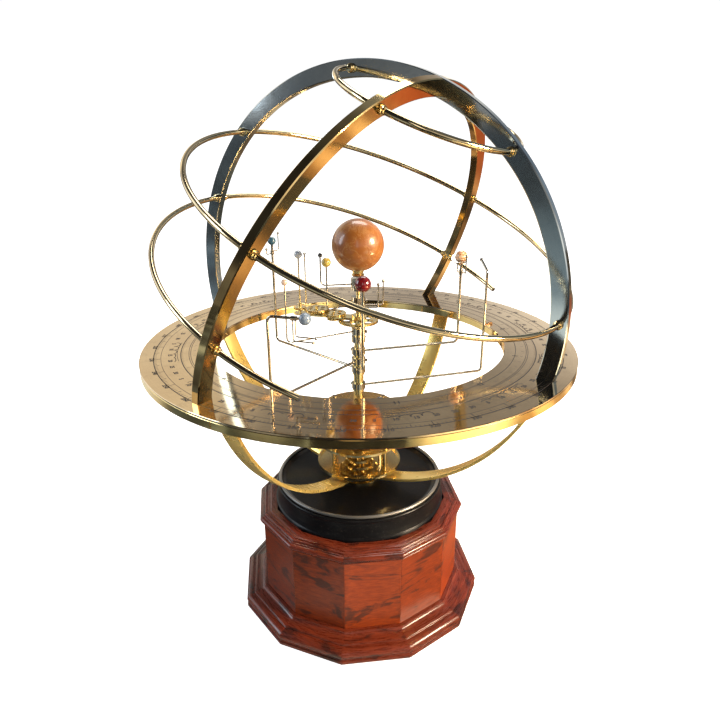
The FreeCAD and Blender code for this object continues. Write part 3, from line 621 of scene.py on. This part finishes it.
# ---------------------------------------------------------------- black stand with its bead rim
def make_stand():
    r = STAND_R
    low = DRUM_HIGH + 2 * MM
    top = STAND_TOP
    waist = r - 2.9 * MM
    lip = r - 2.2 * MM
    profile = [(r - 14 * MM, low), (r, low), (r, BASE_TOP + 2.2 * MM), (r - 1.4 * MM, BASE_TOP + 3.2 * MM),
               (r - 2.4 * MM, BASE_TOP + 8.0 * MM), (waist, BASE_TOP + 15.0 * MM), (waist, top - 3.4 * MM),
               (lip, top - 2.6 * MM), (lip, top - 1.2 * MM), (r - 3.2 * MM, top), (r - 8.0 * MM, top),
               (r - 12.0 * MM, top - 2 * MM), (15 * MM, top - 2 * MM)]
    piece = lathe("black_stand", soften(profile, 1.2 * MM, 5), "lacquer", 224)
    finish_piece(piece, "stand", "turned_stand")


def make_bead():
    low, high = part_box("bead_rim")
    half = (high[2] - low[2]) / 2
    rope = [(radius, high[2] - half + offset) for radius, offset in round_section(high[0] - half, half, 24)]
    piece = lathe("bead_ring", rope, "bead", 256, closed=True)
    finish_piece(piece, "stand", "bead_rim")


# ---------------------------------------------------------------- plate, bands and engraving
def make_plate():
    section = bar_section(PLATE_IN, PLATE_OUT, PLATE_UNDER, PLATE_TOP, 0.35 * MM)
    piece = lathe("ecliptic_ring_plate", section, "plate", 320, angle=12.0, closed=True)
    finish_piece(piece, "stand", "ecliptic_plate")


def band_screw(angle):
    """Small domed screw head low on the outer edge band."""
    radius = 1.3 * MM
    height = 0.5 * MM
    out = Vector((math.cos(angle), math.sin(angle), 0))
    at = out * (PLATE_OUT - 0.55 * MM) + Z * (BAND_UNDER + 3.6 * MM)
    profile = [(radius, 0), (radius, height * 0.55), (radius * 0.8, height * 0.9), (0.0004 * radius, height)]
    return turned_on("band_screw", at, out, profile, "steel", 16)


def make_bands():
    """The outer band in four lengths screwed on beside their joints, and the inner band in two."""
    segments = 320
    first_joint = math.radians(-88)
    parts = []
    for outer, count in ((PLATE_OUT, 4), (PLATE_IN + BAND_THICK, 2)):
        gap = JOINT_GAP / outer
        section = bar_section(outer - BAND_THICK, outer, BAND_UNDER, PLATE_UNDER, 0.3 * MM)
        for i in range(count):
            joint = first_joint + 2 * math.pi * i / count
            length = 2 * math.pi / count
            parts.append(swept("band", section, "band", (X, Y, Z), Vector(), lambda r, d: joint + gap,
                               lambda r, d: joint + length - gap, segments // count))
            if outer == PLATE_OUT:
                parts += [band_screw(joint + math.radians(side)) for side in (2.0, -2.0)]
    finish_piece(merged("edge_bands", parts, 12.0), "stand", "plate_bands")


class Engraving:
    """Lines and numbers a hair above the plate's face, filled with black wax. Insets from the rim, widths,
    lengths and sizes are in millimetres, angles in radians."""

    def __init__(self):
        self.level = PLATE_TOP + 0.04 * MM
        self.points = []
        self.faces = []

    def put(self, points, faces):
        base = len(self.points)
        self.points.extend(points)
        self.faces.extend(tuple(base + k for k in face) for face in faces)

    def at(self, inset, angle):
        radius = PLATE_OUT - inset * MM
        return Vector((radius * math.cos(angle), radius * math.sin(angle)))

    def line(self, spots, width):
        """Flat ribbon through (x, y) points."""
        edges = []
        for i, p in enumerate(spots):
            before = spots[max(0, i - 1)]
            after = spots[min(len(spots) - 1, i + 1)]
            way = (after - before).normalized()
            side = Vector((-way.y, way.x)) * (width * MM / 2)
            edges.append((p.x + side.x, p.y + side.y, self.level))
            edges.append((p.x - side.x, p.y - side.y, self.level))
        self.put(edges, [(2 * i, 2 * i + 1, 2 * i + 3, 2 * i + 2) for i in range(len(spots) - 1)])

    def circle(self, inset, width):
        self.line([self.at(inset, math.radians(k)) for k in range(361)], width)

    def tick(self, inset, length, angle, width):
        self.line([self.at(inset, angle), self.at(inset + length, angle)], width)

    def number(self, value, inset, angle, size):
        """A number read from the rim, its outlines made by Blender's own font."""
        curve = bpy.data.curves.new("numeral", "FONT")
        curve.body = str(value)
        curve.size = size * MM
        curve.align_x = "CENTER"
        curve.resolution_u = 2
        curve.offset = 0.22 * MM
        thing = bpy.data.objects.new("numeral", curve)
        bpy.context.scene.collection.objects.link(thing)
        mesh = bpy.data.meshes.new_from_object(thing)
        spot = self.at(inset, angle)
        place = Matrix.Translation((spot.x, spot.y, self.level))
        turned = place @ Matrix.Rotation(angle + math.pi / 2, 4, "Z")
        self.put([turned @ v.co for v in mesh.vertices], [tuple(p.vertices) for p in mesh.polygons])
        bpy.data.objects.remove(thing)
        bpy.data.curves.remove(curve)
        bpy.data.meshes.remove(mesh)

    def scroll(self, middle, span, loops, phase):
        """Running scrollwork between the scales, with a bowed line under it."""
        count = 120
        spots = []
        for i in range(count + 1):
            t = i / count
            swing = 2 * math.pi * loops * t
            tall = 1.6 + 0.9 * math.sin(5 * t + phase)
            lean = 0.011 * math.sin(swing)
            spots.append(self.at(32.0 - tall * math.cos(swing), middle + span * (t - 0.5) - lean))
        self.line(spots, 0.75)
        shares = [i / 20 for i in range(21)]
        bow = [self.at(35.0 - 0.9 * math.sin(math.pi * t), middle + span * (t - 0.5)) for t in shares]
        self.line(bow, 0.5)


def make_engraving():
    """Scale circles, degree ticks, three rows of numbers and scrollwork."""
    engraving = Engraving()
    for inset, width in ((13.0, 0.8), (19.5, 0.4), (37.5, 0.8), (45.0, 0.5), (46.6, 0.5), (56.5, 0.6)):
        engraving.circle(inset, width)
    for degree in range(360):
        a = math.radians(degree)
        fifth = degree % 5 == 0
        engraving.tick(13.2, 5.8 if degree % 10 == 0 else 4.2 if fifth else 2.6, a, 0.6 if fifth else 0.4)
        engraving.tick(37.6, 6.4 if degree % 30 == 0 else 2.0, a, 0.26)
    for degree in range(0, 360, 10):
        engraving.number(degree, 9.6, math.radians(degree), 5.6)
    for degree in range(0, 360, 5):
        engraving.number(degree % 30 or 30, 26.0, math.radians(degree + 2.5), 5.4)
    for k in range(12):
        engraving.number(k + 1, 54.0, math.radians(30 * k + 15), 7.0)
    for k in range(12):
        span = math.radians(8 + 3 * ((k * 5) % 4))
        engraving.scroll(math.radians(30 * k + 15), span, 4 + k % 3, k)
    for degree in range(0, 360, 5):
        engraving.tick(49.0, 2.5, math.radians(degree), 0.3)
    piece = add_mesh("plate_engraving", engraving.points, engraving.faces, "wax", smooth=False)
    finish_piece(piece, "stand")


# ---------------------------------------------------------------- armillary rings, rods and straps
def level_foot(e2, normal):
    """Angle at which each line of a ring's bar reaches the plate's face."""
    def foot(r, d):
        return math.asin((PLATE_TOP - SPHERE.z - d * normal.z) / (r * e2.z))
    return foot


def make_rings():
    section = bar_section(RING_IN, RING_OUT, -RING_HALF, RING_HALF, 0.8 * MM)
    foot = level_foot(Z, Y)
    piece = swept("solstice_ring", section, "ring_a", (X, Z, Y), SPHERE, foot,
                  lambda r, d: math.pi - foot(r, d), 200, angle=12.0)
    finish_piece(piece, "stand", "solstitial_ring")
    halves = [swept("equinox_half", section, "ring_b", (way, POLE, ACROSS), SPHERE, level_foot(POLE, ACROSS),
                    lambda r, d: math.acos(RING_HALF / r), 110) for way in (Y, -Y)]
    finish_piece(merged("equinox_ring", halves, 12.0), "stand", "equinoctial_ring")


def ferrules(middle, radius, quarters):
    """Turned sleeves that seat a rod in both sides of the rings it passes, at some quarters of its circle."""
    wire = ROD_WIRE
    profile = [(wire * 1.02, 0.0), (wire * 1.5, 0.0), (wire * 1.6, 0.4 * MM), (wire * 1.6, 1.6 * MM),
               (wire * 1.3, 2.1 * MM), (wire * 1.3, 3.6 * MM), (wire * 1.02, 4.0 * MM)]
    made = []
    for quarter in quarters:
        for side in (-1, 1):
            a = math.pi / 2 * quarter + side * (RING_HALF + 0.1 * MM) / radius
            at = middle + ACROSS * (radius * math.cos(a)) + Y * (radius * math.sin(a))
            along = (Y * math.cos(a) - ACROSS * math.sin(a)) * side
            made.append(turned_on("ferrule", at, along, profile, "rod_end", 24))
    return made


def make_rods():
    axes = (ACROSS, Y, POLE)
    for name, node, latitude in (("polar_rod", "polar_circle", POLAR_LATITUDE),
                                 ("tropic_rod", "tropic_circle", TROPIC_LATITUDE)):
        lat = math.radians(latitude)
        radius = RING_MEAN * math.cos(lat)
        middle = SPHERE + POLE * (RING_MEAN * math.sin(lat))
        rod = swept(name, round_section(radius, ROD_WIRE), "rod", axes, middle, None, None, 256)
        parts = [rod] + ferrules(middle, radius, (0, 1, 2, 3))
        finish_piece(merged(name, parts), "stand", node)
    radius = RING_MEAN - EQUATOR_INSET
    rod = swept("equator", round_section(radius, ROD_WIRE), "rod", axes, SPHERE,
                lambda r, d: EQUATOR_HALF_OPEN, lambda r, d: 2 * math.pi - EQUATOR_HALF_OPEN, 200)
    parts = [rod] + ferrules(SPHERE, radius, (1, 2, 3))
    finish_piece(merged("equator_rod", parts), "stand", "equator_arc")


def make_straps():
    """Two crossing hoops as four arcs, from the plate's underside down to the hub."""
    section = bar_section(STRAP_R - STRAP_HALF_THICK, STRAP_R + STRAP_HALF_THICK, -STRAP_HALF_WIDTH,
                          STRAP_HALF_WIDTH, 0.4 * MM, 3)
    parts = [swept("strap", section, "strap", (way, -Z, across), SPHERE,
                   lambda r, d: math.asin((SPHERE.z - PLATE_UNDER) / r),
                   lambda r, d: math.acos(STRAP_END / r), 90)
             for way, across in ((X, Y), (-X, -Y), (Y, -X), (-Y, X))]
    finish_piece(merged("hanging_straps", parts, 12.0), "stand", "lower_straps")


# ---------------------------------------------------------------- stones
STONE_SLOTS = {"sun": "sun_stone", "mercury": "dark_stone", "venus": "gold_stone", "earth": "earth_stone",
               "moon": "moon_stone", "mars": "pale_stone", "jupiter": "red_stone", "saturn": "banded_stone",
               "uranus": "grey_stone", "neptune": "teal_stone", "pluto": "dark_stone"}


def make_stone(name):
    low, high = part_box(name + "_ball")
    radius = max(high[0] - low[0], high[1] - low[1]) / 2
    middle = Vector(((low[0] + high[0]) / 2, (low[1] + high[1]) / 2, high[2] - radius))
    rows = 48 if name == "sun" else 28
    points = []
    for i in range(rows * 2):
        a = math.pi * i / rows
        for k in range(rows + 1):
            t = math.pi * k / rows
            r = radius * math.sin(t)
            points.append(middle + Vector((r * math.cos(a), r * math.sin(a), -radius * math.cos(t))))
    piece = add_mesh(name + "_stone", points, grid_faces(rows * 2, rows + 1, True, False), name, angle=60)
    finish_piece(piece, "stand" if name == "sun" else name, name + "_ball")


make_plinth()
make_staves()
make_cornice()
make_stand()
make_bead()
make_plate()
make_bands()
make_engraving()
make_rings()
make_rods()
make_straps()
for name, slot in STONE_SLOTS.items():
    make_stone(name)


# ---------------------------------------------------------------- the studio that the metal reflects
def sky_patch(tree, direction, tone, way, low, high, color):
    """A soft round patch of colour round the direction way; low and high are the cosines of its edges."""
    near = tree.vector("DOT_PRODUCT", direction, tuple(Vector(way).normalized()))
    return tree.mix(tree.span(near, low, high, smooth=True), tone, color)


def make_room():
    """Plain white to the camera, dim for soft light, and banded and patched for the polished metal."""
    world = bpy.data.worlds.new("studio")
    bpy.context.scene.world = world
    world.use_nodes = True
    tree = Nodes(world.node_tree)
    tree.tree.nodes.clear()
    direction = tree.node("TexCoord").outputs["Generated"]
    height = tree.span(tree.split(direction)[2], -1.0, 1.0)
    tone = tree.ramp(height, (
        (0.0, (0.3, 0.3, 0.3)), (0.5, (0.75, 0.75, 0.75)), (0.60, (1.15, 1.12, 1.08)),
        (0.66, (1.08, 1.05, 1.0)), (0.71, (0.52, 0.50, 0.48)), (0.78, (0.30, 0.30, 0.30)),
        (0.86, (0.06, 0.065, 0.075)), (0.93, (0.30, 0.34, 0.40)), (1.0, (0.10, 0.11, 0.12))))
    patches = (((0.36, 0.80, 0.47), 0.82, 0.97, (0.26, 0.33, 0.42)),
               ((0.0, -0.75, 0.65), 0.62, 0.86, (0.025, 0.027, 0.032)),
               ((-0.92, -0.30, 0.25), 0.88, 0.97, (1.5, 1.6, 1.7)),
               ((0.95, 0.25, 0.2), 0.93, 0.98, (1.5, 1.35, 1.1)),
               ((-0.80, 0.50, 0.33), 0.955, 0.99, (1.75, 1.6, 1.3)),
               ((-0.55, -0.83, 0.08), 0.97, 0.997, (0.22, 0.23, 0.24)),
               ((-0.42, 0.75, 0.50), 0.94, 0.99, (0.36, 0.355, 0.35)))
    for patch in patches:
        tone = sky_patch(tree, direction, tone, *patch)
    depth = tree.span(tree.noise(direction, 2.6, 2.0, 0.5), 0.38, 0.6, 0.55, 1.15)
    mirror = tree.node("Background", Color=tone, Strength=depth)
    soft = tree.node("Background", Color=(0.97, 0.98, 1.0), Strength=0.32)
    seen = tree.node("Background", Color=(1.0, 1.0, 1.0), Strength=1.02)
    ray = tree.node("LightPath").outputs
    shown = soft
    for kind, light in (("Is Glossy Ray", mirror), ("Is Camera Ray", seen)):
        choice = tree.node("MixShader")
        for socket, value in zip(choice.inputs, (ray[kind], shown.outputs[0], light.outputs[0])):
            tree.feed(value, socket)
        shown = choice
    tree.node("OutputWorld", Surface=shown.outputs[0])


def sheet(name, corners, material):
    mesh = bpy.data.meshes.new(name)
    mesh.from_pydata(corners, [], [(0, 1, 2, 3)])
    mesh.materials.append(material)
    thing = bpy.data.objects.new(name, mesh)
    bpy.context.scene.collection.objects.link(thing)
    return thing


def make_flag():
    """A black cloth on the floor, seen only by the metal, darkens the front of the plate's edge."""
    half = 0.24
    tall = 0.34
    cloth = speckled("flag_cloth", 60.0, (0.3, (0.01, 0.01, 0.01)), (0.7, (0.02, 0.02, 0.02)), Roughness=1.0)
    flag = sheet("flag", [(-half, 0, 0), (half, 0, 0), (half, 0, tall), (-half, 0, tall)], cloth)
    flag.location = (0.37, -0.56, 0)
    flag.rotation_euler = (0, 0, math.radians(34))
    flag.visible_camera = False
    flag.visible_diffuse = False
    flag.visible_shadow = False


# ---------------------------------------------------------------- camera, light, floor
def make_camera():
    data = bpy.data.cameras.new("camera")
    data.lens = 31.74
    data.sensor_width = 36.0
    data.clip_start = 0.01
    data.shift_x = 0.0021
    camera = bpy.data.objects.new("camera", data)
    bpy.context.scene.collection.objects.link(camera)
    at = Vector((0.3363, -0.5013, PLATE_TOP + 0.2107))
    look = Vector((-0.5197, 0.7746, -0.3605)).normalized()
    turn = look.to_track_quat("-Z", "Y").to_matrix().to_4x4()
    roll = Matrix.Rotation(-0.0055, 4, "Z")
    camera.matrix_world = Matrix.Translation(at) @ turn @ roll
    bpy.context.scene.camera = camera


def floor_paper():
    """Pale paper, but the polished metal sees a dimmer floor, cool in front and warm behind, with spots."""
    s = Shader("floor_paper", Roughness=0.9, Emission_Color=(1.0, 1.0, 1.0))
    ray = s.node("LightPath").outputs
    behind = s.span(s.split(s.place())[1], -0.25, 0.25)
    patches = s.noise(s.place(), 3.4, 2.0, 0.5)
    cool = s.ramp(patches, ((0.40, (0.02, 0.025, 0.03)), (0.52, (0.07, 0.095, 0.115)),
                            (0.63, (0.42, 0.52, 0.58))))
    warm = s.ramp(patches, ((0.38, (0.03, 0.02, 0.012)), (0.5, (0.22, 0.14, 0.07)),
                            (0.62, (0.65, 0.50, 0.30))))
    dim = s.mix(behind, cool, warm)
    # each spot: its middle, the radius where it is full, the radius where it ends, its colour
    spots = (((-1.0, 0.1, 0), 0.35, 0.65, (0.95, 0.92, 0.80)),
             ((0.95, -0.15, 0), 0.2, 0.5, (0.98, 0.93, 0.72)),
             ((-0.2, -2.3, 0), 0.8, 1.4, (0.34, 0.44, 0.50)),
             ((-0.1, -1.05, 0), 0.1, 0.4, (0.80, 0.92, 0.98)),
             ((0.65, 1.5, 0), 0.2, 0.6, (0.42, 0.11, 0.04)))
    for middle, full, none, shine in spots:
        gap = s.vector("DISTANCE", s.place(), middle)
        dim = s.mix(s.span(gap, full, none, 1.0, 0.0, smooth=True), dim, shine)
    paper = s.ramp(s.noise(s.place(), 3.0), ((0.3, (0.86, 0.86, 0.855)), (0.7, (0.90, 0.90, 0.895))))
    s.color(s.mix(ray["Is Glossy Ray"], paper, dim))
    s.feed(ray["Is Camera Ray"], s.bsdf.inputs["Emission Strength"])
    return s.material


def lamp(name, at, size, power, color):
    """Softbox aimed at the middle of the object."""
    aim = Vector((0, 0, 0.25))
    data = bpy.data.lights.new(name, "AREA")
    data.shape = "RECTANGLE"
    data.size = size[0]
    data.size_y = size[1]
    data.energy = power
    data.color = color
    thing = bpy.data.objects.new(name, data)
    bpy.context.scene.collection.objects.link(thing)
    way = (aim - Vector(at)).normalized()
    thing.matrix_world = Matrix.Translation(at) @ way.to_track_quat("-Z", "Y").to_matrix().to_4x4()


make_camera()
FLOOR_HALF = 60.0
FLOOR_CORNERS = [(x * FLOOR_HALF, y * FLOOR_HALF, 0) for x, y in ((-1, -1), (1, -1), (1, 1), (-1, 1))]
sheet("floor", FLOOR_CORNERS, floor_paper())
lamp("key_softbox", (1.50, 0.30, 0.85), (0.5, 0.5), 72, (1.0, 0.80, 0.56))
lamp("left_softbox", (-1.5, -1.2, 1.1), (0.5, 1.2), 13, (0.76, 0.87, 1.0))
lamp("back_softbox", (-0.5, 1.1, 2.2), (1.4, 0.7), 26, (1.0, 0.97, 0.92))
lamp("front_strip", (0.9, -1.5, 0.9), (0.3, 1.0), 2, (1.0, 0.95, 0.9))
make_room()
make_flag()
bpy.context.scene.view_settings.view_transform = "Standard"
